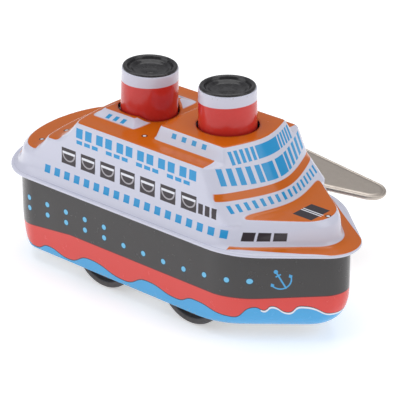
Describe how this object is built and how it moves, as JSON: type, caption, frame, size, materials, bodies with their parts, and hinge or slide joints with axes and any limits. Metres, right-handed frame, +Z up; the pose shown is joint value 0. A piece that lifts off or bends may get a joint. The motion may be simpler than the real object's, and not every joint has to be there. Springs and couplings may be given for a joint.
{
  "type": "clockwork toy ocean liner",
  "caption": "Wind-up tinplate ocean liner on wheels, with a stepped printed superstructure, bobbing funnels and a butterfly key in its side.",
  "frame": {"origin": "on the ground the wheels stand on, at the centre of the whole box, key included; the hull's middle plane is at y = -0.013925", "axes": "+X to the bow, +Y to port, the side the key is on, +Z up"},
  "size_m": [0.125, 0.0794, 0.0685],
  "materials": {
    "white_tin": "glossy lithographed tinplate, off-white with printed windows and orange decks",
    "black_tin": "glossy lithographed tinplate, black over red with a blue wave line",
    "red_tin": "glossy red tinplate with a white band",
    "cap_tin": "gloss black pressed tin",
    "key_steel": "folded sheet steel, dull nickel finish",
    "motor_steel": "stamped zinc-plated steel",
    "brass": "stamped brass",
    "spring_steel": "blued spring steel",
    "wheel_plastic": "dark grey moulded plastic"
  },
  "bodies": {
    "ship": {"superstructure": "white_tin", "hull_shell": "black_tin", "base_plate": "motor_steel", "motor_plate_port": "motor_steel", "motor_plate_starboard": "motor_steel", "pillar_aft": "motor_steel", "pillar_upper": "motor_steel", "pillar_spring": "motor_steel", "pillar_fore": "motor_steel", "rocker_pin": "motor_steel", "mainspring": "spring_steel"},
    "great_wheel": {"great_wheel": "brass", "click_rivet": "brass"},
    "click": {"click": "spring_steel"},
    "winder": {"winding_arbor": "motor_steel", "ratchet_wheel": "motor_steel", "winding_key": "key_steel"},
    "idler": {"idler_shaft": "motor_steel", "idler_pinion": "motor_steel", "idler_wheel": "brass"},
    "drive_axle": {"front_axle": "motor_steel", "drive_pinion": "motor_steel", "front_wheel_port": "wheel_plastic", "front_wheel_starboard": "wheel_plastic"},
    "rear_axle": {"rear_axle": "motor_steel", "eccentric": "brass", "rear_wheel_port": "wheel_plastic", "rear_wheel_starboard": "wheel_plastic"},
    "rocker": {"rocker_beam": "motor_steel", "push_rod_pin": "motor_steel"},
    "push_rod": {"push_rod": "motor_steel"},
    "front_funnel": {"front_funnel": "red_tin", "front_funnel_cap": "cap_tin", "front_funnel_stem": "motor_steel"},
    "rear_funnel": {"rear_funnel": "red_tin", "rear_funnel_cap": "cap_tin", "rear_funnel_stem": "motor_steel"}
  },
  "joints": [
    {"name": "drive_spin", "type": "hinge", "parent": "ship", "child": "drive_axle", "pos_m": [0.0181, -0.01392, 0.012], "axis": [0, 1, 0], "continuous": true},
    {"name": "idler_spin", "type": "hinge", "parent": "ship", "child": "idler", "pos_m": [0.02484, -0.01392, 0.02265], "axis": [0, 1, 0], "continuous": true},
    {"name": "great_wheel_spin", "type": "hinge", "parent": "ship", "child": "great_wheel", "pos_m": [0.0125, -0.01392, 0.0252], "axis": [0, 1, 0], "continuous": true},
    {"name": "key_wind", "type": "hinge", "parent": "great_wheel", "child": "winder", "pos_m": [0.0125, -0.01392, 0.0252], "axis": [0, 1, 0], "continuous": true},
    {"name": "click_lift", "type": "hinge", "parent": "great_wheel", "child": "click", "pos_m": [0.0195, -0.01392, 0.0252], "axis": [0, 1, 0], "range_deg": [0, 12], "stiffness_Nm_per_rad": 0.001, "springref_deg": -5.73},
    {"name": "rear_spin", "type": "hinge", "parent": "ship", "child": "rear_axle", "pos_m": [-0.017, -0.01392, 0.012], "axis": [0, 1, 0], "continuous": true},
    {"name": "rocker_tilt", "type": "hinge", "parent": "ship", "child": "rocker", "pos_m": [-0.00045, -0.01392, 0.042], "axis": [0, 1, 0], "range_deg": [-6, 6]},
    {"name": "push_rod_swing", "type": "hinge", "parent": "rocker", "child": "push_rod", "pos_m": [-0.00545, -0.01392, 0.042], "axis": [0, 1, 0], "range_deg": [-6.2, 6.2]},
    {"name": "front_funnel_slide", "type": "slide", "parent": "ship", "child": "front_funnel", "axis": [0, 0, 1], "range_m": [-0.0016, 0.0016]},
    {"name": "rear_funnel_slide", "type": "slide", "parent": "ship", "child": "rear_funnel", "axis": [0, 0, 1], "range_m": [-0.0017, 0.0017]}
  ],
  "couplings": [
    {"joint": "idler_spin", "follows": "drive_spin", "ratio": -0.4},
    {"joint": "great_wheel_spin", "follows": "drive_spin", "ratio": 0.125},
    {"joint": "rear_funnel_slide", "follows": "front_funnel_slide", "ratio": -1},
    {"joint": "rocker_tilt", "follows": "front_funnel_slide", "rad_per_m": -64.103},
    {"joint": "push_rod_swing", "follows": "front_funnel_slide", "rad_per_m": 64.103}
  ]
}
